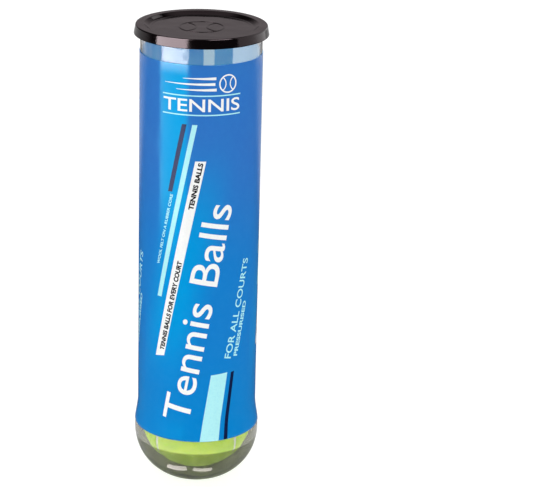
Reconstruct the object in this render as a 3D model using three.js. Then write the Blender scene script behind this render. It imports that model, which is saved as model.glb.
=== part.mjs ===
// Tube-shaped can for four tennis balls, opened, with three balls inside and its snap lid on.
// Millimetres, +Z up. The origin is the centre of the base, on the surface that the can stands on.

import * as THREE from 'three';

// Balls
const BALL_R = 33.2;
const BALL_COUNT = 3;
const BALL_TURNS = [[0.454, 0, 2.356], [1.3, -0.4, 0.2], [-0.6, 0.9, 1.7]]; // as each one fell in
const CORE_R = 29.7;
const CORE_WALL = 3.5;
const FELT_IN = 30.8; // inside of the felt; the facets need this room round the core
const SEAM_HALF = 0.75;
const SEAM_TOP = 32.5;
const SEAM_A = 0.75; // the seam's curve on a unit sphere: the two shares add up to 1
const SEAM_B = 0.25;

// Clear body
const NECK_R = 34.4; // outside, from the shoulder up to the flange
const WALL = 0.5;
const BULGE_R = 36.5; // outside of the wider band above the rounded base
const CORNER_R = 30; // rounding between the base and the wall
const BASE_WALL = 1.4; // the base stays thicker where the plastic was injected
const PUSH_UP = 3.4;
const FOOT_FLAT = 2.5; // width of the flat ring that the can stands on
const SHOULDER_LOW = 30.5;
const SHOULDER_HIGH = 50;
const FLANGE_Z = 271; // underside of the turned-out flange
const FLANGE_R = 35.6;
const FLANGE_WALL = 0.6;
const FLANGE_BEND = 1.1; // height over which the neck turns out

// Label film
const LABEL_LOW = 35.3;
const LABEL_HIGH = 260;
const FILM = 0.25;

// Rolled aluminium ring
const RING_TOP = 273.6;
const RING_R = 36.3;
const RING_LOW_OUT = 269.9;
const RING_LOW_IN = 268.9;
const RING_ROUND = 0.4;
const SHEET = 0.25;

// Snap lid
const LID_TOP = 275;
const LID_WALL = 1.1;
const LID_RIM_R = 37;
const LID_RIM_ROUND = 0.6;
const LID_SKIRT_R = 38;
const LID_SKIRT_LOW = 269.6;
const LID_PANEL_R = 29.5;
const LID_PANEL_SLOPE = 2.9;
const LID_RECESS = 1.7;
const LID_BEAD = 0.8; // half the height of the bead that snaps under the ring

// Fits and facets
const CLEARANCE = 0.3;
const AROUND = 40;
const AROUND_CORE = 16;
const SEAM_STEPS = 36;
const FELT_COLUMNS = 6;

const point = (r, z) => new THREE.Vector2(r, z);

function addMesh(parent, name, geometry, color, roughness, metalness = 0, opacity = 1) {
  const material = new THREE.MeshStandardMaterial({
    color, roughness, metalness, opacity, transparent: opacity < 1,
  });
  const mesh = new THREE.Mesh(geometry, material);
  mesh.name = name;
  parent.add(mesh);
  return mesh;
}

// Turns a profile about Z. The profile starts and ends on the axis, or closes on itself.
function turned(profile, segments = AROUND) {
  const closed = profile[0].x === 0 ? profile : [...profile, profile[0].clone()];
  const geometry = new THREE.LatheGeometry(closed, segments);
  geometry.rotateX(Math.PI / 2);
  return geometry;
}

// Points on an arc of an ellipse, with its angles in degrees from +r towards +z.
function arc(centreR, centreZ, radiusR, radiusZ, from, to, steps) {
  const points = [];
  for (let i = 0; i <= steps; i++) {
    const angle = THREE.MathUtils.degToRad(from + (to - from) * i / steps);
    points.push(point(centreR + radiusR * Math.cos(angle), centreZ + radiusZ * Math.sin(angle)));
  }
  return points;
}

// The shoulder eases from the bulge into the straight wall. The offset moves it sideways.
function shoulder(fromZ, toZ, steps, offset) {
  const points = [];
  for (let i = 0; i <= steps; i++) {
    const z = fromZ + (toZ - fromZ) * i / steps;
    const t = (z - SHOULDER_LOW) / (SHOULDER_HIGH - SHOULDER_LOW);
    const ease = 0.5 + 0.5 * Math.cos(Math.PI * t);
    points.push(point(NECK_R + offset + (BULGE_R - NECK_R) * ease, z));
  }
  return points;
}

// One blown piece: push-up, foot, rounded base, bulge, shoulder, straight wall and flange.
function canBody() {
  const footOut = BULGE_R - CORNER_R;
  const footIn = footOut - FOOT_FLAT;
  const slopeR = footIn / 2;
  const slopeZ = PUSH_UP * 0.75;
  const flangeTop = FLANGE_Z + FLANGE_WALL;
  const mouth = NECK_R - WALL;
  return turned([
    point(0, PUSH_UP),
    point(slopeR, slopeZ),
    point(footIn, 0),
    ...arc(footOut, CORNER_R, CORNER_R, CORNER_R, -90, 0, 7),
    ...shoulder(SHOULDER_LOW, SHOULDER_HIGH, 4, 0),
    point(NECK_R, FLANGE_Z - FLANGE_BEND),
    point(FLANGE_R, FLANGE_Z),
    point(FLANGE_R, flangeTop),
    point(mouth + WALL, flangeTop),
    point(mouth, flangeTop - FLANGE_BEND),
    ...shoulder(SHOULDER_HIGH, SHOULDER_LOW, 4, -WALL),
    ...arc(footOut, CORNER_R, CORNER_R - WALL, CORNER_R - BASE_WALL, 0, -90, 7),
    point(footIn, BASE_WALL),
    point(slopeR, slopeZ + BASE_WALL),
    point(0, PUSH_UP + BASE_WALL),
  ]);
}

// Printed film shrunk round the straight wall, with its lower edge down over the shoulder.
function labelSleeve() {
  const outside = CLEARANCE + FILM;
  return turned([
    ...shoulder(LABEL_LOW, SHOULDER_HIGH, 3, outside),
    point(NECK_R + outside, LABEL_HIGH),
    point(NECK_R + CLEARANCE, LABEL_HIGH),
    ...shoulder(SHOULDER_HIGH, LABEL_LOW, 3, CLEARANCE),
  ]);
}

// What stays of the ring-pull end: the rolled ring that hooks over the flange.
function seamRing() {
  const legOut = NECK_R - WALL - CLEARANCE;
  const legIn = legOut - SHEET;
  const hookR = NECK_R + 0.5;
  const wallIn = RING_R - SHEET;
  return turned([
    point(legIn, RING_LOW_IN),
    point(legOut, RING_LOW_IN),
    point(legOut, RING_TOP - SHEET),
    point(wallIn, RING_TOP - SHEET),
    point(wallIn, RING_LOW_OUT + SHEET),
    point(hookR, RING_LOW_OUT + SHEET),
    point(hookR, RING_LOW_OUT),
    point(RING_R - RING_ROUND, RING_LOW_OUT),
    point(RING_R, RING_LOW_OUT + RING_ROUND),
    point(RING_R, RING_TOP - RING_ROUND),
    point(RING_R - RING_ROUND, RING_TOP),
    point(legIn + RING_ROUND, RING_TOP),
    point(legIn, RING_TOP - RING_ROUND),
  ]);
}

// Sealing compound squeezed between the flange and the ring.
function seamCompound() {
  const low = FLANGE_Z + FLANGE_WALL + CLEARANCE;
  const high = RING_TOP - SHEET - CLEARANCE;
  return turned([
    point(NECK_R, low), point(FLANGE_R, low), point(FLANGE_R, high), point(NECK_R, high),
  ]);
}

// Snap lid: recessed panel, raised rim over the ring, and a flared skirt with a snap bead.
function overcap() {
  const panelTop = LID_TOP - LID_RECESS;
  const rimIn = LID_PANEL_R + LID_PANEL_SLOPE;
  const rimUnder = LID_TOP - LID_WALL;
  const throatR = RING_R + CLEARANCE;
  const skirtIn = LID_SKIRT_R - LID_WALL;
  return turned([
    point(0, panelTop - LID_WALL),
    point(LID_PANEL_R + LID_WALL / 2, panelTop - LID_WALL),
    point(rimIn + LID_WALL / 2, rimUnder),
    point(throatR, rimUnder),
    point(throatR, rimUnder - LID_BEAD),
    point(skirtIn, LID_SKIRT_LOW + 2 * LID_BEAD),
    point(throatR, LID_SKIRT_LOW + LID_BEAD),
    point(skirtIn, LID_SKIRT_LOW),
    point(LID_SKIRT_R, LID_SKIRT_LOW),
    point(LID_RIM_R, LID_TOP - LID_RIM_ROUND),
    point(LID_RIM_R - LID_RIM_ROUND, LID_TOP),
    point(rimIn, LID_TOP),
    point(LID_PANEL_R, panelTop),
    point(0, panelTop),
  ]);
}

// Half of the hollow rubber core, below the plane where the two halves are bonded.
function coreHalf() {
  const inR = CORE_R - CORE_WALL;
  const outer = arc(0, 0, CORE_R, CORE_R, -90, 0, 5);
  const inner = arc(0, 0, inR, inR, 0, -90, 5);
  outer[outer.length - 1].y = -CLEARANCE / 2;
  inner[0].y = -CLEARANCE / 2;
  outer[0].x = 0;
  inner[inner.length - 1].x = 0;
  return turned([...outer, ...inner], AROUND_CORE);
}

// The panels and the bead share these steps, so that their edges run side by side.
function seamStep(i) {
  return -Math.PI / 4 + 2 * Math.PI * i / SEAM_STEPS;
}

// The seam's centre line on a unit sphere.
function seamPoint(t) {
  return new THREE.Vector3(
    SEAM_A * Math.cos(t) + SEAM_B * Math.cos(3 * t),
    SEAM_A * Math.sin(t) - SEAM_B * Math.sin(3 * t),
    2 * Math.sqrt(SEAM_A * SEAM_B) * Math.sin(2 * t),
  );
}

// A point on the unit sphere beside the seam, at a distance in millimetres on the ball.
function seamSide(t, distance) {
  const small = 1e-4;
  const centre = seamPoint(t);
  const ahead = seamPoint(t + small).sub(seamPoint(t - small)).normalize();
  const side = new THREE.Vector3().crossVectors(centre, ahead).normalize();
  const angle = distance / BALL_R;
  return centre.multiplyScalar(Math.cos(angle)).addScaledVector(side, Math.sin(angle));
}

function meshFrom(vertices, triangles) {
  const numbers = vertices.flatMap((vertex) => vertex.toArray());
  const geometry = new THREE.BufferGeometry();
  geometry.setAttribute('position', new THREE.Float32BufferAttribute(numbers, 3));
  geometry.setIndex(triangles.flat());
  geometry.computeVertexNormals();
  return geometry;
}

// Seam cement: a square bead that follows the seam all the way round.
function seamBead() {
  const vertices = [];
  const triangles = [];
  for (let i = 0; i < SEAM_STEPS; i++) {
    const left = seamSide(seamStep(i), SEAM_HALF);
    const right = seamSide(seamStep(i), -SEAM_HALF);
    vertices.push(
      left.clone().multiplyScalar(FELT_IN), left.clone().multiplyScalar(SEAM_TOP),
      right.clone().multiplyScalar(SEAM_TOP), right.clone().multiplyScalar(FELT_IN),
    );
    const here = 4 * i;
    const next = 4 * ((i + 1) % SEAM_STEPS);
    for (let k = 0; k < 4; k++) {
      const m = (k + 1) % 4;
      triangles.push([here + k, next + m, next + k], [here + k, here + m, next + m]);
    }
  }
  return meshFrom(vertices, triangles);
}

// Directions across a felt panel, from one side of the seam to its mirror image: one row for
// each step along the panel. The first and the last row are single points, the panel's tips.
function feltRows() {
  const rows = [];
  for (let i = 0; i <= SEAM_STEPS / 2; i++) {
    const start = seamSide(seamStep(i), SEAM_HALF + CLEARANCE);
    const end = new THREE.Vector3(-start.y, -start.x, start.z);
    const angle = start.angleTo(end);
    const tip = i === 0 || i === SEAM_STEPS / 2;
    const shares = tip ? [0.5] : Array.from({ length: FELT_COLUMNS + 1 }, (_, k) => k / FELT_COLUMNS);
    rows.push(shares.map((share) => {
      const fromStart = tip ? 1 : Math.sin((1 - share) * angle);
      const fromEnd = tip ? 1 : Math.sin(share * angle);
      return start.clone().multiplyScalar(fromStart).addScaledVector(end, fromEnd).normalize();
    }));
  }
  return rows;
}

// One dumbbell-shaped felt panel, as thick as the felt.
function feltPanel() {
  const vertices = [];
  const rows = feltRows();
  const layer = (radius) => rows.map((row) => row.map(
    (direction) => vertices.push(direction.clone().multiplyScalar(radius)) - 1,
  ));
  const outer = layer(BALL_R);
  const inner = layer(FELT_IN);
  const at = (side, i, k) => side[i][Math.min(k, side[i].length - 1)];
  const triangles = [];
  const quad = (a, b, c, d, flip) => {
    for (const [p, q, r] of [[a, b, c], [a, c, d]]) {
      const flat = p === q || q === r || r === p;
      if (!flat) triangles.push(flip ? [p, r, q] : [p, q, r]);
    }
  };
  for (let i = 0; i < rows.length - 1; i++) {
    for (const side of [outer, inner]) {
      for (let k = 0; k < FELT_COLUMNS; k++) {
        quad(at(side, i, k), at(side, i + 1, k), at(side, i + 1, k + 1), at(side, i, k + 1), side === inner);
      }
    }
    for (const k of [0, FELT_COLUMNS]) {
      quad(at(outer, i, k), at(inner, i, k), at(inner, i + 1, k), at(outer, i + 1, k), k > 0);
    }
  }
  return meshFrom(vertices, triangles);
}

function addBall(parent, name, centreZ, turn) {
  const ball = new THREE.Group();
  ball.position.z = centreZ;
  ball.rotation.set(...turn);
  parent.add(ball);
  addMesh(ball, `${name}_core_lower`, coreHalf(), 0x4a4540, 0.9);
  addMesh(ball, `${name}_core_upper`, coreHalf(), 0x4a4540, 0.9).rotation.x = Math.PI;
  addMesh(ball, `${name}_felt_a`, feltPanel(), 0xc8ea4f, 0.95);
  addMesh(ball, `${name}_felt_b`, feltPanel(), 0xc8ea4f, 0.95).rotation.x = Math.PI;
  addMesh(ball, `${name}_seam`, seamBead(), 0xeef0e2, 0.7);
}

const can = new THREE.Group();
addMesh(can, 'can_body', canBody(), 0xe8eef0, 0.06, 0, 0.3);
addMesh(can, 'label_sleeve', labelSleeve(), 0x1f6fc4, 0.18);
addMesh(can, 'seam_ring', seamRing(), 0xc9ccd0, 0.3, 1);
addMesh(can, 'seam_compound', seamCompound(), 0x6f7276, 0.8);
addMesh(can, 'overcap', overcap(), 0x1b1718, 0.2);

const lowestCentre = PUSH_UP + BASE_WALL + CLEARANCE + BALL_R;
for (let i = 0; i < BALL_COUNT; i++) {
  const centreZ = lowestCentre + i * (2 * BALL_R + CLEARANCE);
  addBall(can, `ball_${i + 1}`, centreZ, BALL_TURNS[i]);
}

export default can;
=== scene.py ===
import math
import random

import bmesh
import bpy
from mathutils import Matrix, Vector, noise
from mathutils.kdtree import KDTree


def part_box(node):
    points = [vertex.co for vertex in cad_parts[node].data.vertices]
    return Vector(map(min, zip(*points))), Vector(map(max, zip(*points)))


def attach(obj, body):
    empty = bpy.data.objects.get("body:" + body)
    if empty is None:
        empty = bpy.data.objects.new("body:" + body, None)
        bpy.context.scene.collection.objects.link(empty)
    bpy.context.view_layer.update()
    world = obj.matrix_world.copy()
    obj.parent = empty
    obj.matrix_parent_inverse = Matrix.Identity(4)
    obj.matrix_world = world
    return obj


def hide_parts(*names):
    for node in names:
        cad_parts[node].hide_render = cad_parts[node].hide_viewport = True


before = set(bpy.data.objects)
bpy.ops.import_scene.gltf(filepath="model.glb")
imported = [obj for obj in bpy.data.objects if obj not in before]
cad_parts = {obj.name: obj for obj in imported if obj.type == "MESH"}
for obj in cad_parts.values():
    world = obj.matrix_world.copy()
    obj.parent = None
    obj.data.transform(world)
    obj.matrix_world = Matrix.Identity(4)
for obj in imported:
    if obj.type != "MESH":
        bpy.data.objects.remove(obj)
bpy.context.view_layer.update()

MM = 0.001

# ---------------------------------------------------------------- sizes, from the frame
body_low, body_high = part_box("can_body")
label_low, label_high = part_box("label_sleeve")
lid_low, lid_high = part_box("overcap")
ring_low, ring_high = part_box("seam_ring")
compound_low, compound_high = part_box("seam_compound")

BULGE_R = body_high.x
CORNER_R = 30 * MM
NECK_R = BULGE_R - 2.1 * MM
WALL = 0.5 * MM
BASE_WALL = 1.4 * MM
PUSH_UP = 3.4 * MM
PARTING = 27.4 * MM  # a fine step round the can, where the thick rounded base ends
SHOULDER_LOW = 30.5 * MM
SHOULDER_HIGH = 50 * MM
FLANGE_R = compound_high.x
FLANGE_TOP = body_high.z

FILM_R = NECK_R + 0.5 * MM  # the film may come out to here on the straight wall
FILM = 0.16 * MM
SEAM_MIDDLE = math.radians(172)  # the film's glued lap is at the back
LABEL_LOW = label_low.z
LABEL_HIGH = label_high.z
INK_LIFT = 0.03 * MM

AROUND = 240  # facets round the can


# ---------------------------------------------------------------- mesh helpers
def new_piece(name, vertices, faces, body, material, replaces=()):
    """A smooth mesh that rides on a CAD body."""
    mesh = bpy.data.meshes.new(name)
    mesh.from_pydata([tuple(v) for v in vertices], [], faces)
    mesh.validate()
    mesh.shade_smooth()
    return add_piece(name, mesh, body, material, replaces)


def add_piece(name, mesh, body, material, replaces=()):
    piece = bpy.data.objects.new(name, mesh)
    bpy.context.scene.collection.objects.link(piece)
    mesh.materials.append(material)
    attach(piece, body)
    if replaces:
        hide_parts(*replaces)
    return piece


def arc(centre_r, centre_z, radius_r, radius_z, start, end, steps):
    """Points on an arc of an ellipse, with its angles in degrees from outwards towards up."""
    turn = [math.radians(start + (end - start) * i / steps) for i in range(steps + 1)]
    return [(centre_r + radius_r * math.cos(a), centre_z + radius_z * math.sin(a)) for a in turn]


def rounded(corners, closed, steps=4):
    """A profile whose corners (r, z, radius) are turned into arcs.
    A point is held close on each side of an arc, so that the faces beside it stay flat."""
    points = []
    count = len(corners)
    for i, (r, z, radius) in enumerate(corners):
        at_end = not closed and i in (0, count - 1)
        if radius == 0 or at_end:
            points.append((r, z))
            continue
        here = Vector((r, z))
        before = Vector(corners[i - 1][:2]) - here
        after = Vector(corners[(i + 1) % count][:2]) - here
        half = before.angle(after) / 2
        cut = min(radius / math.tan(half), 0.49 * before.length, 0.49 * after.length)
        start = here + before.normalized() * cut
        end = here + after.normalized() * cut
        hold = min(0.12 * MM, before.length - cut, after.length - cut) * 0.5
        points.append(tuple(start + before.normalized() * hold))
        for k in range(steps + 1):
            t = k / steps
            points.append(tuple(start * (1 - t) ** 2 + here * 2 * t * (1 - t) + end * t * t))
        points.append(tuple(end + after.normalized() * hold))
    return points


def turned(profile, segments=AROUND, move=None):
    """Turns a profile about Z: vertices and faces. It starts and ends on the axis, or closes on itself.
    move(angle, r, z) may shift a point a little."""
    vertices, rings = [], []
    for r, z in profile:
        if r < 1e-7:
            rings.append([len(vertices)] * segments)
            vertices.append((0, 0, z))
            continue
        first = len(vertices)
        for k in range(segments):
            angle = 2 * math.pi * k / segments
            rr, zz = move(angle, r, z) if move else (r, z)
            vertices.append((rr * math.sin(angle), -rr * math.cos(angle), zz))
        rings.append(list(range(first, first + segments)))
    faces = []
    open_ended = profile[0][0] < 1e-7
    last = len(rings) - 1 if open_ended else len(rings)
    for i in range(last):
        low, high = rings[i], rings[(i + 1) % len(rings)]
        for k in range(segments):
            m = (k + 1) % segments
            face = [low[k], low[m], high[m], high[k]]
            face = [v for j, v in enumerate(face) if v != face[j - 1]]
            if len(face) > 2:
                faces.append(face)
    return vertices, faces


def shoulder_ease(z):
    """1 on the bulge, 0 on the straight wall."""
    t = min(max((z - SHOULDER_LOW) / (SHOULDER_HIGH - SHOULDER_LOW), 0), 1)
    return 0.5 + 0.5 * math.cos(math.pi * t)


# ---------------------------------------------------------------- node helpers
def node(tree, kind, inputs=None, **settings):
    """Adds a node. An input is a value, or a socket to link."""
    made = tree.nodes.new(kind)
    for key, value in settings.items():
        setattr(made, key, value)
    for key, value in (inputs or {}).items():
        socket = made.inputs[key]
        if isinstance(value, bpy.types.NodeSocket):
            tree.links.new(value, socket)
        else:
            socket.default_value = value
    return made


def calc(tree, operation, *values):
    return node(tree, "ShaderNodeMath", dict(enumerate(values)), operation=operation).outputs[0]


def ramp(tree, factor, low, high, to_low=0.0, to_high=1.0):
    inputs = {"Value": factor, "From Min": low, "From Max": high, "To Min": to_low, "To Max": to_high}
    return node(tree, "ShaderNodeMapRange", inputs, interpolation_type="SMOOTHSTEP").outputs["Result"]


def mix(tree, factor, a, b):
    """Mixes two colours. The numbers are the node's own places for colours."""
    return node(tree, "ShaderNodeMix", {0: factor, 6: a, 7: b}, data_type="RGBA").outputs[2]


def choose(tree, share, a, b):
    """Mixes two numbers."""
    return node(tree, "ShaderNodeMix", {0: share, 2: a, 3: b}, data_type="FLOAT").outputs[0]


def grey(tree, value):
    inputs = {"Red": value, "Green": value, "Blue": value}
    return node(tree, "ShaderNodeCombineColor", inputs).outputs[0]


def height_of(tree):
    """Height above the floor."""
    return node(tree, "ShaderNodeSeparateXYZ", {0: place(tree)}).outputs["Z"]


def place(tree):
    """Position in the object's own frame, in metres."""
    return node(tree, "ShaderNodeTexCoord").outputs["Object"]


def noise_at(tree, vector, scale, detail=2.0, rough=0.5):
    inputs = {"Vector": vector, "Scale": scale, "Detail": detail, "Roughness": rough}
    return node(tree, "ShaderNodeTexNoise", inputs).outputs["Fac"]


def new_group(name, inputs, outputs):
    """A shader node group with named sockets. Returns the tree, its input node and its output node."""
    tree = bpy.data.node_groups.new(name, "ShaderNodeTree")
    for label, default in inputs:
        socket = tree.interface.new_socket(label, in_out="INPUT", socket_type="NodeSocketFloat")
        socket.default_value = default
    for label in outputs:
        tree.interface.new_socket(label, in_out="OUTPUT", socket_type="NodeSocketFloat")
    return tree, tree.nodes.new("NodeGroupInput"), tree.nodes.new("NodeGroupOutput")


def use(tree, group, inputs=None):
    made = tree.nodes.new("ShaderNodeGroup")
    made.node_tree = group
    for key, value in (inputs or {}).items():
        made.inputs[key].default_value = value
    return made


def new_material(name, color, roughness, **values):
    """A material with a Principled shader. The values are set on its own sockets."""
    material = bpy.data.materials.new(name)
    material.use_nodes = True
    tree = material.node_tree
    shader = tree.nodes["Principled BSDF"]
    shader.inputs["Base Color"].default_value = (*color, 1)
    shader.inputs["Roughness"].default_value = roughness
    for key, value in values.items():
        shader.inputs[key.replace("_", " ").title().replace("Ior", "IOR")].default_value = value
    material.diffuse_color = (*color, 1)
    return material, tree, shader


def bump(tree, shader, height, distance, strength=1.0):
    made = node(tree, "ShaderNodeBump", {"Height": height, "Distance": distance, "Strength": strength})
    tree.links.new(made.outputs["Normal"], shader.inputs["Normal"])


def srgb(r, g, b):
    """A colour given as 0 to 255 screen values, as the shader's linear ones."""
    def line(c):
        c /= 255
        return c / 12.92 if c <= 0.04045 else ((c + 0.055) / 1.055) ** 2.4
    return (line(r), line(g), line(b))


# ---------------------------------------------------------------- effects that several materials share
def film_ripple_group():
    """The slow waves and fine pull lines of shrunk film, as a height from 0 to 1."""
    tree, _, out = new_group("film_ripple", [], ["Height"])
    where = place(tree)
    stretched = node(tree, "ShaderNodeMapping", {"Vector": where, "Scale": (1, 1, 0.22)}).outputs[0]
    slow = noise_at(tree, stretched, 55, 1.0)
    fine = noise_at(tree, stretched, 420, 2.0)
    height = calc(tree, "ADD", calc(tree, "MULTIPLY", slow, 0.9), calc(tree, "MULTIPLY", fine, 0.1))
    tree.links.new(height, out.inputs["Height"])
    return tree


def handling_group():
    """Where fingers have dulled a glossy face: 0 is clean and 1 is smudged."""
    tree, source, out = new_group("handling", [("Size", 40.0)], ["Smudge"])
    patches = noise_at(tree, place(tree), source.outputs["Size"], 4.0, 0.6)
    tree.links.new(ramp(tree, patches, 0.42, 0.78), out.inputs["Smudge"])
    return tree


def scuffs_group():
    """Short scratches and rub marks that run round the object: 1 in a mark and 0 on the clean face."""
    tree, source, out = new_group("scuffs", [("Size", 130.0)], ["Scuff"])
    where = place(tree)
    along = {"Vector": where, "Rotation": (0.3, 0.2, 0), "Scale": (1, 1, 9)}
    squeezed = node(tree, "ShaderNodeMapping", along).outputs[0]
    lines = noise_at(tree, squeezed, source.outputs["Size"], 6.0, 0.7)
    spots = noise_at(tree, where, 45, 2.0)
    marks = calc(tree, "MULTIPLY", ramp(tree, lines, 0.56, 0.68), ramp(tree, spots, 0.42, 0.62))
    tree.links.new(marks, out.inputs["Scuff"])
    return tree


def mould_grain_group():
    """Fine even grain of a moulded or cured face, as a height from 0 to 1."""
    tree, source, out = new_group("mould_grain", [("Size", 2600.0)], ["Height"])
    tree.links.new(noise_at(tree, place(tree), source.outputs["Size"], 3.0, 0.6), out.inputs["Height"])
    return tree


def felt_nap_group():
    """Matted fibres: tufts and single fibres as a height, and a slow mask for colour."""
    tree, _, out = new_group("felt_nap", [], ["Height", "Tone"])
    where = place(tree)
    bend = (12 * MM, 12 * MM, 12 * MM)
    swirl = {"Vector": where, "Scale": 160.0, "Detail": 2.0}
    warp = node(tree, "ShaderNodeTexNoise", swirl).outputs["Color"]
    bent = node(tree, "ShaderNodeVectorMath", {0: warp, 1: bend}, operation="MULTIPLY").outputs[0]
    moved = node(tree, "ShaderNodeVectorMath", {0: where, 1: bent}, operation="ADD").outputs[0]
    strands = {"Vector": moved, "Scale": 260.0, "Distortion": 14.0, "Detail": 3.0, "Detail Scale": 2.0}
    fibres = node(tree, "ShaderNodeTexWave", strands).outputs["Fac"]
    tufts = noise_at(tree, where, 520, 4.0, 0.65)
    height = calc(tree, "ADD", calc(tree, "MULTIPLY", fibres, 0.35), calc(tree, "MULTIPLY", tufts, 0.65))
    tree.links.new(height, out.inputs["Height"])
    tree.links.new(ramp(tree, noise_at(tree, where, 130, 5.0, 0.6), 0.3, 0.75), out.inputs["Tone"])
    return tree


FILM_RIPPLE = film_ripple_group()
HANDLING = handling_group()
SCUFFS = scuffs_group()
MOULD_GRAIN = mould_grain_group()
FELT_NAP = felt_nap_group()


# ---------------------------------------------------------------- materials
def clear_plastic():
    """Blown clear plastic, smokier and darker where the base is left thick, partly its own smoke and
    partly painted shade at the bottom. Lamps shine straight through it.
    """
    material, tree, shader = new_material("clear_blown_plastic", (0.93, 0.94, 0.93), 0.03,
                                          ior=1.52, transmission_weight=0.98)
    smoke_and_shade_dark = (*srgb(163, 164, 150), 1)
    smoke_and_shade_light = (*srgb(190, 191, 178), 1)
    clear_color = (0.94, 0.93, 0.92, 1)
    height = height_of(tree)
    thin = ramp(tree, height, PARTING - 0.8 * MM, PARTING + 0.2 * MM)
    where = place(tree)
    hazy = ramp(tree, noise_at(tree, where, 110, 5.0, 0.62), 0.36, 0.72)
    # painted shade: the foot's tint is partly the thick plastic's smoke and partly shade at the bottom
    # painted in
    foot = mix(tree, hazy, smoke_and_shade_dark, smoke_and_shade_light)
    tree.links.new(mix(tree, thin, foot, clear_color), shader.inputs["Base Color"])
    rays = node(tree, "ShaderNodeLightPath").outputs
    straight = calc(tree, "MAXIMUM", rays["Is Shadow Ray"], rays["Is Diffuse Ray"])
    clear = node(tree, "ShaderNodeBsdfTransparent", {"Color": (0.985, 0.985, 0.985, 1)}).outputs[0]
    through = node(tree, "ShaderNodeMixShader", {0: straight, 1: shader.outputs[0], 2: clear}).outputs[0]
    tree.links.new(through, tree.nodes["Material Output"].inputs["Surface"])
    smudge = use(tree, HANDLING, {"Size": 60.0}).outputs["Smudge"]
    rubbed = use(tree, SCUFFS, {"Size": 130.0}).outputs["Scuff"]
    low_rub = calc(tree, "MULTIPLY", rubbed, ramp(tree, height, 55 * MM, 30 * MM))
    dull = calc(tree, "ADD", ramp(tree, smudge, 0, 1, 0.01, 0.05), calc(tree, "MULTIPLY", low_rub, 0.16))
    tree.links.new(dull, shader.inputs["Roughness"])
    ripples = calc(tree, "ADD", noise_at(tree, where, 90, 2.0), calc(tree, "MULTIPLY", low_rub, 0.06))
    bump(tree, shader, ripples, 0.25 * MM, 0.5)
    return material


def label_place(tree):
    """The unrolled label: distance round the can from the middle of the panel, and height, in metres.
    The print has three equal panels."""
    parts = node(tree, "ShaderNodeSeparateXYZ", {0: place(tree)}).outputs
    angle = calc(tree, "ARCTAN2", parts["X"], calc(tree, "MULTIPLY", parts["Y"], -1.0))
    half_panel = math.pi / 3
    wrapped = calc(tree, "WRAP", angle, half_panel, -half_panel)
    return calc(tree, "MULTIPLY", wrapped, FILM_R), parts["Z"]


def film_gloss(tree, shader):
    """The gloss of the film, shared by the blue print and the inks.
    It shines harder at its tight top edge."""
    ripple = use(tree, FILM_RIPPLE).outputs["Height"]
    bump(tree, shader, ripple, 1.0 * MM, 0.25)
    smudge = use(tree, HANDLING, {"Size": 45.0}).outputs["Smudge"]
    tree.links.new(ramp(tree, smudge, 0, 1, 0.16, 0.27), shader.inputs["Roughness"])
    tight = ramp(tree, height_of(tree), LABEL_HIGH - 7 * MM, LABEL_HIGH, 0.0, 0.6)
    tree.links.new(tight, shader.inputs["Coat Weight"])


def label_print():
    """The blue ground of the print, with a lighter slanted glow. It turns violet towards the top, partly
    the ink and partly a painted haze of reflected light.
    A painted reflection of a lamp runs upright near the top, left of the middle, as a lighter stripe in
    the print's colour."""
    material, tree, shader = new_material("label_blue_print", srgb(24, 126, 203), 0.2, coat_roughness=0.1,
                                          specular_ior_level=0.3, specular_tint=(0.0, 0.9, 1.0, 1))
    low_blue = (*srgb(23, 123, 202), 1)
    top_blue_with_haze = (*srgb(50, 114, 195), 1)
    foot_blue = (*srgb(9, 128, 203), 1)
    glow_blue = (*srgb(1, 149, 218), 1)
    lamp_reflection_blue = (*srgb(2, 136, 208), 1)
    mottle_blue = (*srgb(60, 150, 215), 1)
    across, height = label_place(tree)
    rise = calc(tree, "SUBTRACT", height, 130 * MM)
    slanting = calc(tree, "SUBTRACT", across, calc(tree, "MULTIPLY", rise, 0.2))
    from_glow = calc(tree, "ABSOLUTE", calc(tree, "ADD", slanting, 12 * MM))
    below_top = ramp(tree, height, 225 * MM, 150 * MM)
    above_foot = ramp(tree, height, 60 * MM, 110 * MM)
    ends = calc(tree, "MULTIPLY", below_top, above_foot)
    glow = calc(tree, "MULTIPLY", ramp(tree, from_glow, 3 * MM, 24 * MM, 1.0, 0.0), ends)
    # painted haze: the violet towards the top is partly the ink and partly reflected light painted into
    # the print's colour
    deep = mix(tree, ramp(tree, height, 130 * MM, 215 * MM), low_blue, top_blue_with_haze)
    base = mix(tree, ramp(tree, height, 110 * MM, 40 * MM), deep, foot_blue)
    color = mix(tree, calc(tree, "MULTIPLY", glow, 0.9), base, glow_blue)
    # painted reflection: an upright lighter stripe where a lamp's reflection falls, painted into the
    # print's colour
    from_lamp_reflection = calc(tree, "ABSOLUTE", calc(tree, "ADD", across, 15.5 * MM))
    near_lamp_reflection = ramp(tree, from_lamp_reflection, 5 * MM, 11 * MM, 1.0, 0.0)
    band = calc(tree, "MULTIPLY", near_lamp_reflection, ramp(tree, height, 120 * MM, 175 * MM))
    color = mix(tree, calc(tree, "MULTIPLY", band, 0.85), color, lamp_reflection_blue)
    mottle = ramp(tree, noise_at(tree, place(tree), 260, 4.0, 0.65), 0.35, 0.7)
    color = mix(tree, calc(tree, "MULTIPLY", mottle, 0.06), color, mottle_blue)
    tree.links.new(color, shader.inputs["Base Color"])
    film_gloss(tree, shader)
    return material


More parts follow.
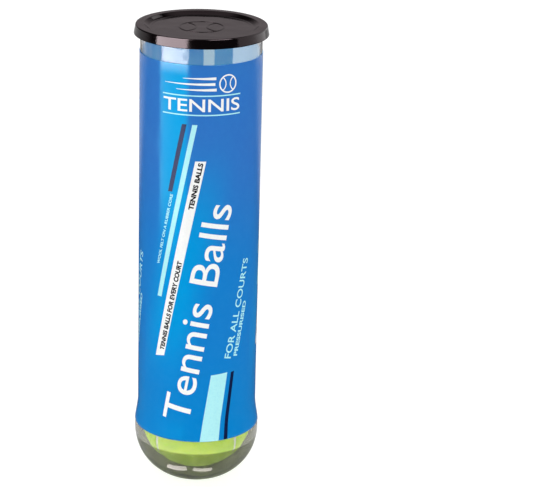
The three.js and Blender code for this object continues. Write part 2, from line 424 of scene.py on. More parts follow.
def label_back_painted_glow():
    """The inside of the film, drawn as a painted glow for the light that comes through it, more through
    the glued lap and one pale panel.
    """
    material, tree, shader = new_material("label_film_back_painted_glow", srgb(24, 90, 130), 0.4, emission_strength=1.0)
    parts = node(tree, "ShaderNodeSeparateXYZ", {0: place(tree)}).outputs
    angle = calc(tree, "ARCTAN2", parts["X"], calc(tree, "MULTIPLY", parts["Y"], -1.0))
    degree = math.pi / 180
    lap = calc(tree, "MULTIPLY", ramp(tree, angle, 166.4 * degree, 167.4 * degree),
               ramp(tree, angle, 178.2 * degree, 177.4 * degree))
    pale = calc(tree, "MULTIPLY", ramp(tree, angle, 84 * degree, 88 * degree),
                ramp(tree, angle, 148 * degree, 146.6 * degree))
    patches = ramp(tree, noise_at(tree, place(tree), 60, 3.0), 0.35, 0.7)
    teal = mix(tree, patches, (*srgb(20, 112, 176), 1), (*srgb(58, 140, 184), 1))
    lap_color = (*srgb(170, 200, 212), 1)
    pale_color = (*srgb(186, 216, 238), 1)
    glow = mix(tree, pale, mix(tree, lap, teal, lap_color), pale_color)
    # painted glow: this emission stands in for light coming through the film; it is no lamp
    tree.links.new(glow, shader.inputs["Emission Color"])
    return material


def ink(name, color, worn):
    """A printed ink under the film's gloss. It thins a little in places."""
    material, tree, shader = new_material(name, color, 0.2, coat_roughness=0.1,
                                          specular_ior_level=0.2, specular_tint=(0.7, 0.7, 1.0, 1))
    coverage = ramp(tree, noise_at(tree, place(tree), 900, 3.0), 0.35, 0.8)
    tree.links.new(mix(tree, coverage, (*color, 1), (*worn, 1)), shader.inputs["Base Color"])
    film_gloss(tree, shader)
    return material


def black_lid():
    """Glossy black moulded lid, with a fine grain on top of the slow waves of its shrinkage."""
    material, tree, shader = new_material("black_lid_plastic", (0.003, 0.002, 0.0023), 0.1, ior=1.5,
                                          specular_tint=(0.78, 0.62, 0.66, 1))
    smudge = use(tree, HANDLING, {"Size": 55.0}).outputs["Smudge"]
    tree.links.new(ramp(tree, smudge, 0, 1, 0.07, 0.17), shader.inputs["Roughness"])
    grain = use(tree, MOULD_GRAIN, {"Size": 1800.0}).outputs["Height"]
    waves = noise_at(tree, place(tree), 70, 1.0)
    marks = use(tree, SCUFFS, {"Size": 170.0}).outputs["Scuff"]
    fine = calc(tree, "ADD", calc(tree, "MULTIPLY", grain, 0.06), calc(tree, "MULTIPLY", marks, 0.03))
    height = calc(tree, "ADD", calc(tree, "MULTIPLY", waves, 0.9), fine)
    bump(tree, shader, height, 0.5 * MM, 0.5)
    return material


def rolled_aluminium():
    """Rolled sheet: fine lines round the ring, and dull rubbed spots."""
    material, tree, shader = new_material("rolled_aluminium", (0.86, 0.87, 0.88), 0.34, metallic=0.85)
    where = place(tree)
    parts = node(tree, "ShaderNodeSeparateXYZ", {0: where}).outputs
    radius = node(tree, "ShaderNodeVectorMath",
                  {0: node(tree, "ShaderNodeCombineXYZ", {"X": parts["X"], "Y": parts["Y"]}).outputs[0]},
                  operation="LENGTH").outputs["Value"]
    lines_at = node(tree, "ShaderNodeCombineXYZ", {"X": radius, "Y": parts["Z"]}).outputs[0]
    lines = noise_at(tree, lines_at, 4000, 2.0)
    rubbed = noise_at(tree, where, 120, 3.0)
    tree.links.new(ramp(tree, rubbed, 0.3, 0.75, 0.3, 0.42), shader.inputs["Roughness"])
    bump(tree, shader, lines, 0.01 * MM, 0.5)
    return material


def plain_rubber(name, light, dark, roughness, grain_size):
    """Cured rubber with a fine grain and slightly uneven colour."""
    material, tree, shader = new_material(name, light, roughness, specular_ior_level=0.3)
    uneven = ramp(tree, noise_at(tree, place(tree), 220, 4.0), 0.3, 0.7)
    tree.links.new(mix(tree, uneven, (*dark, 1), (*light, 1)), shader.inputs["Base Color"])
    bump(tree, shader, use(tree, MOULD_GRAIN, {"Size": grain_size}).outputs["Height"], 0.15 * MM, 0.7)
    return material


def felt_material(name, light, dark, depth):
    """Bright wool felt: matted fibres, uneven dye and a soft sheen."""
    material, tree, shader = new_material(name, light, 0.95, sheen_weight=0.35, sheen_roughness=0.5,
                                          specular_ior_level=0.15)
    nap = use(tree, FELT_NAP)
    tree.links.new(mix(tree, nap.outputs["Tone"], (*dark, 1), (*light, 1)), shader.inputs["Base Color"])
    if depth:
        bump(tree, shader, nap.outputs["Height"], depth, 0.9)
    return material


CLEAR = clear_plastic()
PRINT = label_print()
FILM_BACK_GLOW = label_back_painted_glow()
WHITE_INK = ink("white_ink", srgb(246, 246, 243), srgb(238, 240, 240))
CYAN_INK = ink("pale_cyan_ink", srgb(178, 239, 243), srgb(168, 233, 241))
NAVY_INK = ink("navy_ink", srgb(8, 24, 62), srgb(14, 32, 74))
BLACK_INK = ink("black_ink", srgb(12, 12, 18), srgb(24, 24, 32))
LID_BLACK = black_lid()
ALUMINIUM = rolled_aluminium()
COMPOUND = plain_rubber("sealing_compound", srgb(150, 152, 154), srgb(120, 123, 126), 0.7, 2400.0)
CORE_RUBBER = plain_rubber("core_rubber", srgb(78, 72, 66), srgb(56, 52, 48), 0.85, 1500.0)
SEAM_RUBBER = plain_rubber("seam_rubber", srgb(228, 232, 214), srgb(205, 210, 186), 0.7, 3000.0)
FELT = felt_material("felt", srgb(222, 252, 66), srgb(196, 240, 32), 0.8 * MM)
FUZZ = felt_material("felt_fuzz", srgb(228, 252, 120), srgb(204, 240, 70), 0)


# ---------------------------------------------------------------- clear body
def make_can_body():
    foot_out = BULGE_R - CORNER_R
    foot_in = foot_out - 2.5 * MM
    flange_low = FLANGE_TOP - 0.6 * MM
    mouth_r = NECK_R - WALL
    steps = 22

    def push(lift):
        return [(foot_in * t, lift + PUSH_UP * (0.5 + 0.5 * math.cos(math.pi * t))) for t in
                (0, 0.12, 0.25, 0.4, 0.55, 0.7, 0.85)]

    def wall(offset):
        zs = [SHOULDER_LOW + (SHOULDER_HIGH - SHOULDER_LOW) * i / 14 for i in range(15)]
        return [(NECK_R + offset + (BULGE_R - NECK_R) * shoulder_ease(z), z) for z in zs]

    parting_step = 0.12 * MM
    outside = push(0) + [(foot_in, 0)]
    outside += [(r - (parting_step if z < PARTING else 0), z) for r, z in
                arc(foot_out, CORNER_R, CORNER_R, CORNER_R, -90, 0, steps)]
    outside += wall(0)
    outside += [(NECK_R, 120 * MM), (NECK_R, 200 * MM), (NECK_R, flange_low - 2.0 * MM),
                (NECK_R + 0.1 * MM, flange_low - 1.1 * MM), (NECK_R + 0.5 * MM, flange_low - 0.3 * MM),
                (FLANGE_R - 0.1 * MM, flange_low), (FLANGE_R, flange_low + 0.1 * MM),
                (FLANGE_R, FLANGE_TOP - 0.1 * MM), (FLANGE_R - 0.1 * MM, FLANGE_TOP)]
    inside = [(mouth_r + 0.6 * MM, FLANGE_TOP), (mouth_r + 0.15 * MM, FLANGE_TOP - 0.3 * MM),
              (mouth_r, FLANGE_TOP - 1.0 * MM), (mouth_r, 200 * MM), (mouth_r, 120 * MM)]
    inside += wall(-WALL)[::-1]
    inside += arc(foot_out, CORNER_R, CORNER_R - WALL, CORNER_R - BASE_WALL, 0, -90, steps)
    inside += [(foot_in, BASE_WALL)] + push(BASE_WALL)[::-1]
    vertices, faces = turned(outside + inside)
    return new_piece("clear_body", vertices, faces, "can", CLEAR, ["can_body"])


# ---------------------------------------------------------------- label film
def film_radius(angle, z):
    """Outside of the film, with the slow waves that it takes as it shrinks, and its lap at the back."""
    wave = noise.noise(Vector((2.2 * math.cos(angle), 2.2 * math.sin(angle), z / (45 * MM))))
    from_lap = abs((angle - SEAM_MIDDLE + math.pi) % (2 * math.pi) - math.pi)
    lap = min(max((math.radians(4.5) - from_lap) / math.radians(1.2), 0), 1)
    return FILM_R + (BULGE_R - NECK_R) * shoulder_ease(z) + (0.10 * lap + 0.03 * wave - 0.14) * MM


def film_edge(angle, z):
    """The cut edges wander a little."""
    wander = 0.22 * MM * noise.noise(Vector((3 * math.cos(angle), 3 * math.sin(angle), z * 7)))
    return min(max(z + wander, LABEL_LOW), LABEL_HIGH)


def film_rows():
    """Heights of the film's rows: close together where it bends over the shoulder."""
    bend = SHOULDER_HIGH + 1.5 * MM
    return [LABEL_LOW + (bend - LABEL_LOW) * i / 12 for i in range(12)] + [
        bend + (LABEL_HIGH - bend) * i / 52 for i in range(52)] + [LABEL_HIGH - 0.4 * MM, LABEL_HIGH]


def make_label():
    heights = film_rows()
    profile = [(FILM_R, z) for z in heights] + [(FILM_R - FILM, z) for z in reversed(heights)]
    half = len(heights)

    def move(angle, r, z):
        at_edge = z in (heights[0], heights[-1])
        zz = film_edge(angle, z) if at_edge else z
        inner = r < FILM_R
        return film_radius(angle, zz) - (FILM if inner else 0), zz

    vertices, faces = turned(profile, AROUND, move)
    piece = new_piece("label_film", vertices, faces, "can", PRINT, ["label_sleeve"])
    piece.data.materials.append(FILM_BACK_GLOW)
    first_inner = half * AROUND
    for face in piece.data.polygons:
        if all(v >= first_inner for v in face.vertices):
            face.material_index = 1
    return piece


# ---------------------------------------------------------------- print on the label
# Art is drawn on the unrolled panel, in millimetres: across from its middle, and height up the can.
def letters(text, length, height, weight=0.0):
    """Flat letters whose baseline starts at the origin: length along x, capital height along y."""
    curve = bpy.data.curves.new("letters", "FONT")
    curve.body = text
    curve.offset = weight
    curve.resolution_u = 6
    drawn = bpy.data.objects.new("letters", curve)
    bpy.context.scene.collection.objects.link(drawn)
    graph = bpy.context.evaluated_depsgraph_get()
    mesh = bpy.data.meshes.new_from_object(drawn.evaluated_get(graph))
    bpy.data.objects.remove(drawn)
    flat = bmesh.new()
    flat.from_mesh(mesh)
    xs = [v.co.x for v in flat.verts]
    capital = 0.729  # of the type size, in this font
    for v in flat.verts:
        v.co = Vector(((v.co.x - min(xs)) * length / (max(xs) - min(xs)), v.co.y * height / capital, 0))
    return flat


def slanted(flat, start, slope):
    """Turns flat art to read up the can from a start point, leaning over by slope."""
    up = Vector((slope, 1, 0)).normalized()
    left = Vector((-up.y, up.x, 0))
    for v in flat.verts:
        v.co = Vector((*start, 0)) + up * v.co.x + left * v.co.y
    return flat


def upright(flat, start):
    for v in flat.verts:
        v.co += Vector((*start, 0))
    return flat


def polygon(points):
    flat = bmesh.new()
    flat.faces.new([flat.verts.new((x, y, 0)) for x, y in points])
    return flat


def stroke(points, widths):
    """A band along a line of points, with a width at each."""
    flat = bmesh.new()
    sides = []
    for i, (x, y) in enumerate(points):
        ahead = Vector(points[min(i + 1, len(points) - 1)]) - Vector(points[max(i - 1, 0)])
        across = Vector((-ahead.y, ahead.x)).normalized() * widths[i] / 2
        sides.append([flat.verts.new((x + s * across.x, y + s * across.y, 0)) for s in (1, -1)])
    for (a, b), (c, d) in zip(sides, sides[1:]):
        flat.faces.new([b, d, c, a])
    return flat


def ring_points(x, y, radius, start=0.0, end=360.0, steps=40):
    turn = [math.radians(start + (end - start) * i / steps) for i in range(steps + 1)]
    return [(x + radius * math.cos(a), y + radius * math.sin(a)) for a in turn]


def print_on_label(name, drawings, material, lift=INK_LIFT):
    """Joins flat drawings, cuts them along the film's rows and columns, and wraps them on the film.
    Each of the label's three panels carries them once."""
    art = bmesh.new()
    for drawing in drawings:
        mesh = bpy.data.meshes.new("flat")
        drawing.to_mesh(mesh)
        art.from_mesh(mesh)
        drawing.free()
        bpy.data.meshes.remove(mesh)
    column = 2 * math.pi * FILM_R / AROUND / MM
    furthest = int(max(abs(v.co.x) for v in art.verts) / column) + 1
    cuts = [(Vector((1, 0, 0)), k * column) for k in range(-furthest, furthest + 1)]
    cuts += [(Vector((0, 1, 0)), z / MM) for z in film_rows()]
    for across, at in cuts:
        parts = art.verts[:] + art.edges[:] + art.faces[:]
        bmesh.ops.bisect_plane(art, geom=parts, plane_co=across * at, plane_no=across, dist=1e-5)
    vertices, faces = [], []
    for panel in range(3):
        first = len(vertices)
        art.verts.index_update()
        for v in art.verts:
            z = min(max(v.co.y * MM, LABEL_LOW + 0.1 * MM), LABEL_HIGH - 0.3 * MM)
            angle = v.co.x * MM / FILM_R + panel * 2 * math.pi / 3
            r = film_radius(angle, z) + lift
            vertices.append((r * math.sin(angle), -r * math.cos(angle), z))
        for f in art.faces:
            corners = [v.index + first for v in f.verts]
            faces.append(corners if f.normal.z > 0 else corners[::-1])
    art.free()
    return new_piece(name, vertices, faces, "can", material)


def bar(top, bottom, width, slanted_end=0.0):
    """A slanted bar with its ends cut level, or its lower end raised on the right."""
    return polygon([(bottom[0], bottom[1]), (bottom[0] + width, bottom[1] + slanted_end),
                    (top[0] + width, top[1]), top])


def speed_ball():
    """A flying ball with streaks behind it."""
    drawings = [stroke(ring_points(15.5, 249.2, 4.9), [0.8] * 41),
                stroke(ring_points(9.6, 249.2, 4.6, -48, 48, 16), [0.6] * 17),
                stroke(ring_points(21.4, 249.2, 4.6, 132, 228, 16), [0.6] * 17)]
    for start, end, height in ((-10, 8.5, 252.4), (-21, 8.0, 249.2), (-14, 8.8, 246.0)):
        points = [(start + (end - start) * i / 12, height) for i in range(13)]
        drawings.append(stroke(points, [0.25 + 1.35 * i / 12 for i in range(13)]))
    return drawings


def make_print():
    line_low = [(-22.4 + 46 * i / 20, 231.6) for i in range(21)]
    line_high = [(-22.4 + 46 * i / 20, 242.6) for i in range(21)]
    white = [bar((-2.6, 205.1), (-26.4, 85.2), 6.2, 1.3),
             slanted(letters("Tennis Balls", 135, 17.2, 0.004), (-4.9, 45.5), 0.185),
             upright(letters("TENNIS", 45, 7.4, 0.01), (-21.9, 233.7)),
             *speed_ball()]
    cyan = [bar((-4.5, 226.1), (-25.3, 122.2), 2.9),
            polygon([(1.9, 35.0), (12.7, 35.0), (18.4, 76.8), (8.2, 76.2)]),
            slanted(letters("FOR ALL COURTS", 60, 4.5, 0.012), (20.4, 85.0), 0.215),
            slanted(letters("PRESSURISED", 33, 2.7, 0.03), (25.0, 85.6), 0.215),
            slanted(letters("WOOL FELT ON A RUBBER CORE", 44, 1.7, 0.03), (-24.2, 141.5), 0.205),
            stroke(line_low, [0.7] * 21), stroke(line_high, [0.7] * 21)]
    navy = [bar((-10.4, 226.2), (-18.5, 186.2), 2.7),
            polygon([(15.8, 35.0), (18.1, 35.0), (23.1, 76.7), (20.9, 76.3)])]
    print_on_label("print_white", white, WHITE_INK)
    print_on_label("print_cyan", cyan, CYAN_INK)
    print_on_label("print_navy", navy, NAVY_INK)


def make_bar_words():
    """Dark words on the white bar. They lie on the ink, so they are lifted a little more."""
    dark = [slanted(letters("TENNIS BALLS FOR EVERY COURT", 57, 2.7, 0.045), (-20.6, 89.4), 0.2),
            slanted(letters("TENNIS BALLS", 28, 2.7, 0.045), (-3.6, 176.4), 0.2)]
    print_on_label("print_dark_words", dark, BLACK_INK, 2 * INK_LIFT)


# ---------------------------------------------------------------- metal ring and compound
def make_seam_ring():
    sheet = 0.25 * MM
    leg_out = NECK_R - WALL - 0.3 * MM
    leg_in = leg_out - sheet
    out = ring_high.x
    top = ring_high.z
    hook = NECK_R + 0.5 * MM
    hook_low = 269.9 * MM
    corners = [(leg_in, ring_low.z, 0.05), (leg_out, ring_low.z, 0.05), (leg_out, top - sheet, 0.3),
               (out - sheet, top - sheet, 0.3), (out - sheet, hook_low + sheet, 0.2),
               (hook, hook_low + sheet, 0.05), (hook, hook_low, 0.05), (out, hook_low, 0.45),
               (out, top, 0.5), (leg_in, top, 0.45)]
    profile = rounded([(r, z, radius * MM) for r, z, radius in corners], True)

    def torn(angle, r, z):
        """The panel tore out along the ring's inner lower edge, so that edge wavers."""
        if z < ring_low.z + 0.06 * MM and r < leg_out + 0.01 * MM:
            waver = noise.noise(Vector((9 * math.cos(angle), 9 * math.sin(angle), 0)))
            return r, z + 0.45 * MM * (0.5 + 0.5 * waver)
        return r, z

    vertices, faces = turned(profile, AROUND, torn)
    return new_piece("metal_ring", vertices, faces, "can", ALUMINIUM, ["seam_ring"])


def make_compound():
    low, high = compound_low.z, compound_high.z
    profile = rounded([(NECK_R, low, 0.2 * MM), (FLANGE_R, low, 0.2 * MM), (FLANGE_R, high, 0.3 * MM),
                       (NECK_R, high, 0.3 * MM)], True)
    vertices, faces = turned(profile)
    return new_piece("sealing_ring", vertices, faces, "can", COMPOUND, ["seam_compound"])


# ---------------------------------------------------------------- snap lid
def make_lid():
    top = lid_high.z
    low = lid_low.z
    skirt = lid_high.x
    wall = 1.1 * MM
    panel = top - 1.7 * MM
    panel_r = 29.5 * MM
    rim_in = 32.4 * MM
    throat = ring_high.x + 0.3 * MM
    underside = [(0, panel - wall, 0), (panel_r + 0.55 * MM, panel - wall, 0.6),
                 (rim_in + 0.55 * MM, top - wall, 0.5), (throat, top - wall, 0.4),
                 (throat, top - 1.9 * MM, 0.3), (skirt - wall, low + 1.6 * MM, 0.3),
                 (throat, low + 0.8 * MM, 0.5), (skirt - wall, low, 0.2)]
    rim = [(skirt, low, 0.35), (skirt - 1.0 * MM, top, 0.7), (rim_in, top, 0.9),
           (panel_r + 0.9 * MM, panel + 0.45 * MM, 0.3)]
    recess = [(panel_r, panel, 0.8), (panel_r - 1.2 * MM, panel, 0.1),
              (panel_r - 1.4 * MM, panel - 0.12 * MM, 0.1),
              (8 * MM, panel - 0.14 * MM, 0), (0, panel - 0.14 * MM, 0)]
    corners = underside + rim + recess
    profile = rounded([(r, z, radius * MM) for r, z, radius in corners], False)
    vertices, faces = turned(profile)
    make_lid_emblem(panel - 0.14 * MM)
    return new_piece("snap_lid", vertices, faces, "overcap", LID_BLACK, ["overcap"])


def ridge(points, z, width, height):
    """A low rounded ridge along a line on the lid's panel."""
    section = [(-0.5, 0.0), (-0.34, 0.7), (0.0, 1.0), (0.34, 0.7), (0.5, 0.0), (0.0, -0.3)]
    vertices, faces = [], []
    loop = points[0] == points[-1]
    line = points[:-1] if loop else points
    count = len(line)
    for i, (x, y) in enumerate(line):
        after = line[(i + 1) % count] if loop else line[min(i + 1, count - 1)]
        before = line[i - 1] if loop else line[max(i - 1, 0)]
        ahead = Vector(after) - Vector(before)
        across = Vector((-ahead.y, ahead.x)).normalized() * width
        vertices += [(x + across.x * s, y + across.y * s, z + height * h) for s, h in section]
    size = len(section)
    for i in range(count if loop else count - 1):
        here, there = i * size, (i + 1) % count * size
        for k in range(size):
            m = (k + 1) % size
            faces.append([here + k, here + m, there + m, there + k])
    if not loop:
        faces.append(list(range(size))[::-1])
        faces.append([(count - 1) * size + k for k in range(size)])
    return vertices, faces


def make_lid_emblem(z):
    """A raised outline of a ball, moulded on the panel."""
    radius = 12.5 * MM
    side = 14 * MM
    closed = ring_points(0, 0, radius, 0, 360, 72)
    closed[-1] = closed[0]
    lines = [closed]
    for sign in (-1, 1):
        centre = 90 - 90 * sign
        lines.append(ring_points(-sign * side, 0, 11 * MM, centre - 62, centre + 62, 28))
    vertices, faces = [], []
    for line in lines:
        first = len(vertices)
        more, more_faces = ridge(line, z, 0.9 * MM, 0.25 * MM)
        vertices += more
        faces += [[v + first for v in f] for f in more_faces]
    return new_piece("lid_emblem", vertices, faces, "overcap", LID_BLACK)


# ---------------------------------------------------------------- balls
BALL_R = 33.2 * MM
FELT_IN = 30.8 * MM
SEAM_HALF = 0.85 * MM
SEAM_TOP = 32.35 * MM
SEAM_A, SEAM_B = 0.75, 0.25
BALL_TURNS = [(0.454, 0, 2.356), (1.3, -0.4, 0.2), (-0.6, 0.9, 1.7)]


def seam_point(t):
    return Vector((SEAM_A * math.cos(t) + SEAM_B * math.cos(3 * t),
                   SEAM_A * math.sin(t) - SEAM_B * math.sin(3 * t),
                   2 * math.sqrt(SEAM_A * SEAM_B) * math.sin(2 * t)))


def seam_side(t, distance):
    """A direction beside the seam, at a distance along the ball."""
    centre = seam_point(t)
    ahead = (seam_point(t + 1e-4) - seam_point(t - 1e-4)).normalized()
    side = centre.cross(ahead).normalized()
    angle = distance / BALL_R
    return centre * math.cos(angle) + side * math.sin(angle)


def ball_place(number):
    """Where a ball lies and how it is turned: the CAD core's middle, and the turn that it fell in with."""
    low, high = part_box(f"ball_{number}_core_lower")
    low_2, high_2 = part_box(f"ball_{number}_core_upper")
    lowest = Vector(map(min, low, low_2))
    highest = Vector(map(max, high, high_2))
    a, b, c = BALL_TURNS[number - 1]
    turn = Matrix.Rotation(a, 4, "X") @ Matrix.Rotation(b, 4, "Y") @ Matrix.Rotation(c, 4, "Z")
    return Matrix.Translation((lowest + highest) / 2) @ turn


def nap_height(direction, seed):
    """How far the felt stands at a point: tufts over slow hills."""
    offset = Vector((seed, 0, 0))
    hills = noise.noise(direction * 9 + offset)
    tufts = noise.noise(direction * 60 + offset)
    return 0.10 * MM * hills + 0.16 * MM * tufts


def felt_panel(flip, seed):
    """One dumbbell-shaped panel: rows of directions across it, and an outer skin that rolls down
    to the seam."""
    rows, columns = 120, 44
    edge = 1.6 * MM  # width of the roll beside the seam
    low_edge = SEAM_TOP - 0.5 * MM
    crown = BALL_R - 0.28 * MM  # leaves room for the nap
    outer = []
    for i in range(rows + 1):
        t = -math.pi / 4 + math.pi * i / rows
        start = seam_side(t, SEAM_HALF)
        end = Vector((-start.y, -start.x, start.z))
        angle = start.angle(end, 0)
        row = []
        for k in range(columns + 1):
            s = k / columns
            s = 0.5 - 0.5 * math.cos(math.pi * s) * (0.7 + 0.3 * abs(math.cos(math.pi * s)))
            if angle < 1e-4:
                direction = (start + end).normalized()
            else:
                direction = (start * math.sin((1 - s) * angle) + end * math.sin(s * angle)).normalized()
            row.append(direction)
        outer.append(row)
    boundary = [seam_side(2 * math.pi * j / 360, SEAM_HALF) for j in range(360)]
    flip_turn = Matrix.Rotation(math.pi, 3, "X") if flip else Matrix.Identity(3)
    tree = kd_of(boundary)
    vertices, faces = [], []
    for row in outer:
        for direction in row:
            away = tree.find(direction)[2] * BALL_R
            rise = math.sqrt(max(0, 1 - (1 - min(away / edge, 1)) ** 2))
            height = low_edge + (crown - low_edge) * rise
            height += nap_height(flip_turn @ direction, seed) * rise
            vertices.append(flip_turn @ (direction * min(height, BALL_R)))
    count = len(vertices)
    for row in outer:
        vertices += [flip_turn @ (direction * FELT_IN) for direction in row]
    width = columns + 1
    for i in range(rows):
        for k in range(columns):
            a, b = i * width + k, (i + 1) * width + k
            faces.append([a, b, b + 1, a + 1])
            faces.append([count + a, count + a + 1, count + b + 1, count + b])
        for k in (0, columns):
            a, b = i * width + k, (i + 1) * width + k
            side = [a, count + a, count + b, b]
            faces.append(side if k == 0 else side[::-1])
    return vertices, faces


def kd_of(points):
    tree = KDTree(len(points))
    for i, point in enumerate(points):
        tree.insert(point, i)
    tree.balance()
    return tree


def tidy_mesh(piece):
    """Merges the points that meet at a panel's tips."""
    mesh = bmesh.new()
    mesh.from_mesh(piece.data)
    bmesh.ops.remove_doubles(mesh, verts=mesh.verts, dist=1e-6)
    bmesh.ops.dissolve_degenerate(mesh, edges=mesh.edges, dist=1e-7)
    bmesh.ops.recalc_face_normals(mesh, faces=mesh.faces)
    mesh.to_mesh(piece.data)
    mesh.free()
    piece.data.shade_smooth()


def seam_bead():
    """Seam cement: slightly hollow on top."""
    steps = 288
    section = [(1.12, -0.9), (1.0, 0.0), (0.55, -0.06), (0.0, -0.1),
               (-0.55, -0.06), (-1.0, 0.0), (-1.12, -0.9)]
    vertices, faces = [], []
    for i in range(steps):
        t = 2 * math.pi * i / steps
        for across, up in section:
            wander = 0.05 * MM * noise.noise(seam_point(t) * 20 + Vector((across, 0, 0)))
            radius = SEAM_TOP + up * MM + wander
            vertices.append(seam_side(t, across * SEAM_HALF) * radius)
    size = len(section)
    for i in range(steps):
        here, there = i * size, (i + 1) % steps * size
        for k in range(size):
            m = (k + 1) % size
            faces.append([here + k, here + m, there + m, there + k])
    return vertices, faces


def fuzz(seed, count):
    """Loose fibres that curl over the felt, each a thin tapered blade."""
    draw = random.Random(seed)
    vertices, faces = [], []
    lines = kd_of([seam_point(2 * math.pi * j / 360) for j in range(360)])
    made = 0
    while made < count:
        z = draw.uniform(-1, 1)
        a = draw.uniform(0, 2 * math.pi)
        flat = math.sqrt(1 - z * z)
        direction = Vector((flat * math.cos(a), flat * math.sin(a), z))
        if lines.find(direction)[2] * BALL_R < SEAM_HALF + 0.5 * MM:
            continue
        made += 1
        side = direction.orthogonal().normalized()
        side.rotate(Matrix.Rotation(draw.uniform(0, 2 * math.pi), 3, direction))
        along = direction.cross(side)
        length = draw.uniform(0.8, 2.4) * MM
        width = 0.035 * MM
        curl = draw.uniform(-0.6, 0.6)
        first = len(vertices)
        for k, (share, lift) in enumerate(((0, -0.35), (0.35, 0.0), (0.7, 0.12), (1.0, 0.02))):
            spot = direction * (BALL_R - 0.15 * MM + lift * MM) + along * length * share
            spot += side * length * curl * share * share
            spot = spot.normalized() * min(spot.length, BALL_R)
            half = side * width * (1 - 0.8 * share)
            vertices += [spot - half, spot + half]
            if k:
                b = first + 2 * k
                faces.append([b - 2, b - 1, b + 1, b])
    return vertices, faces


def make_ball(number):
    body = f"ball_{number}"
    where = ball_place(number)
    for side, flip in (("a", False), ("b", True)):
        vertices, faces = felt_panel(flip, 10.0 * number)
        name = f"{body}_felt_panel_{side}"
        placed = [where @ v for v in vertices]
        piece = new_piece(name, placed, faces, body, FELT, [f"{body}_felt_{side}"])
        tidy_mesh(piece)
    vertices, faces = seam_bead()
    new_piece(f"{body}_seam_bead", [where @ v for v in vertices], faces, body, SEAM_RUBBER,
              [f"{body}_seam"])
    vertices, faces = fuzz(number, 3600)
    new_piece(f"{body}_fuzz", [where @ v for v in vertices], faces, body, FUZZ)
    for half in ("lower", "upper"):
        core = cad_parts[f"{body}_core_{half}"]
        core.data.materials.clear()
        core.data.materials.append(CORE_RUBBER)


# ---------------------------------------------------------------- studio
def make_camera():
    """A long lens from the front, a little to the can's left, looking down on the lid."""
    data = bpy.data.cameras.new("camera")
    data.lens = 141.8
    data.sensor_width = 36
    data.clip_end = 50
    camera = bpy.data.objects.new("camera", data)
    turn = Matrix.Rotation(math.radians(-1.96), 4, "Z") @ Matrix.Rotation(math.radians(90 - 19.41), 4, "X")
    tilt = Matrix.Rotation(math.radians(1.44), 4, "Z")
    camera.matrix_world = Matrix.Translation((0, -1.148, 0.550)) @ turn @ tilt
    bpy.context.scene.collection.objects.link(camera)
    bpy.context.scene.camera = camera


def softbox(name, azimuth, distance, low, high, width, glow, color=(1, 1, 1)):
    """An upright light panel that faces the can, with an even glow. It lights no dull face.
    Azimuth 0 is on the camera's side, 90 on the can's right."""
    data = bpy.data.lights.new(name, "AREA")
    data.shape = "RECTANGLE"
    data.size = width
    data.size_y = high - low
    data.energy = glow * math.pi * width * (high - low)
    data.color = color
    light = bpy.data.objects.new(name, data)
    a = math.radians(azimuth)
    light.location = (distance * math.sin(a), -distance * math.cos(a), (low + high) / 2)
    light.rotation_euler = (math.radians(90), 0, a)
    light.visible_camera = False
    light.visible_diffuse = False
    bpy.context.scene.collection.objects.link(light)
    return light


def glint(x, y, width, depth, turn):
    """A small bright card flat on the floor in front of the can, for a gleam low on the round base."""
    light = softbox("glint", 0, 0, 0, depth * MM, width * MM, 6, (1.0, 0.9, 0.9))
    light.location = (x * MM, y * MM, 0.5 * MM)
    light.rotation_euler = (math.pi, 0, math.radians(turn))
    light.visible_transmission = False


def pale_floor():
    """White to the eye and in the light that it throws back, and dull through plastic. In gloss it is
    dull, save for painted bright patches round the can and towards the back.
    Its own glow for the eye keeps the ball's colour from spreading over it."""
    material, tree, shader = new_material("pale_floor", (0.9, 0.9, 0.9), 0.7, emission_strength=1.0)
    rays = node(tree, "ShaderNodeLightPath").outputs
    plain = grey(tree, ramp(tree, noise_at(tree, place(tree), 3, 4.0), 0.2, 0.8, 0.93, 0.95))
    to_eye = mix(tree, rays["Is Camera Ray"], plain, (0.36, 0.36, 0.36, 1))
    where = place(tree)
    back = node(tree, "ShaderNodeSeparateXYZ", {0: where}).outputs["Y"]
    from_can = node(tree, "ShaderNodeVectorMath", {0: where}, operation="LENGTH").outputs["Value"]
    # painted bright patches, seen only in gloss: one round the can's foot and one towards the back
    near_shine = ramp(tree, from_can, 0.13, 0.07, 0.03, 0.5)
    back_shine = ramp(tree, back, 0.4, 0.62, 0.0, 0.5)
    shine = grey(tree, calc(tree, "ADD", near_shine, back_shine))
    in_gloss = mix(tree, rays["Is Glossy Ray"], to_eye, shine)
    seen_through = mix(tree, rays["Is Transmission Ray"], in_gloss, (0.72, 0.70, 0.68, 1))
    tree.links.new(seen_through, shader.inputs["Base Color"])
    glow = mix(tree, rays["Is Camera Ray"], (0, 0, 0, 1), (0.74, 0.74, 0.74, 1))
    tree.links.new(glow, shader.inputs["Emission Color"])
    return material


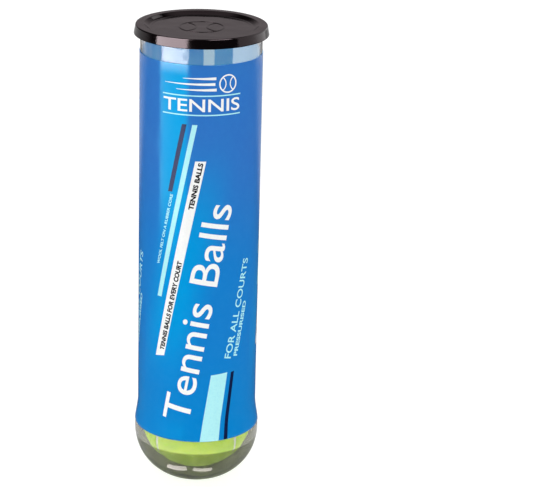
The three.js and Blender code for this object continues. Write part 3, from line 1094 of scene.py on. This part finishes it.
def studio_world():
    """A white room. In gloss its front is dark, and the wall behind the can and the ceiling are bright."""
    world = bpy.data.worlds.new("studio")
    bpy.context.scene.world = world
    world.use_nodes = True
    tree = world.node_tree
    background = tree.nodes["Background"]
    towards = node(tree, "ShaderNodeTexCoord").outputs["Generated"]
    parts = node(tree, "ShaderNodeSeparateXYZ", {0: towards}).outputs
    above_floor = ramp(tree, parts["Z"], 0.0, 0.12)
    back_wall = calc(tree, "MULTIPLY", ramp(tree, parts["Y"], 0.70, 0.93), above_floor)
    ceiling = ramp(tree, parts["Z"], 0.72, 0.92, 0.01, 0.45)
    gloss = calc(tree, "ADD", ceiling, calc(tree, "MULTIPLY", back_wall, 0.34))
    rays = node(tree, "ShaderNodeLightPath").outputs
    tint = mix(tree, rays["Is Glossy Ray"], (1, 1, 1, 1), (1.0, 0.88, 0.91, 1))
    tree.links.new(tint, background.inputs["Color"])
    reflected = choose(tree, rays["Is Glossy Ray"], 1.04, gloss)
    strength = choose(tree, rays["Is Transmission Ray"], reflected, 0.66)
    tree.links.new(strength, background.inputs["Strength"])


LAMP_TILT = 48  # degrees that the two high lamps look down


def make_studio():
    bpy.context.scene.view_settings.view_transform = "Standard"
    mesh = bpy.data.meshes.new("floor")
    half = 20.0
    corners = [(-half, -half, 0), (half, -half, 0), (half, half, 0), (-half, half, 0)]
    mesh.from_pydata(corners, [], [(0, 1, 2, 3)])
    floor = bpy.data.objects.new("floor", mesh)
    bpy.context.scene.collection.objects.link(floor)
    mesh.materials.append(pale_floor())
    softbox("softbox_left_low", -51, 0.5, 0.0, 0.21, 0.525, 7)
    softbox("softbox_left_high", -51, 0.5, 0.21, 1.0, 0.525, 12)
    softbox("softbox_right", 109, 0.6, 0.2, 1.0, 1.24, 1.0)
    key = softbox("softbox_key", 38, 1.0, 0.9, 1.5, 0.8, 12)
    key.rotation_euler.x = math.radians(90 - LAMP_TILT)
    fill = softbox("softbox_key_left", -43, 1.0, 0.9, 1.5, 0.8, 7)
    fill.rotation_euler.x = math.radians(90 - LAMP_TILT)
    glint(-17, -31, 19, 7, -29)
    glint(6, -34, 17, 5, 14)
    studio_world()


make_camera()
make_can_body()
make_label()
make_print()
make_bar_words()
make_seam_ring()
make_compound()
make_lid()
for ball_number in (1, 2, 3):
    make_ball(ball_number)
make_studio()
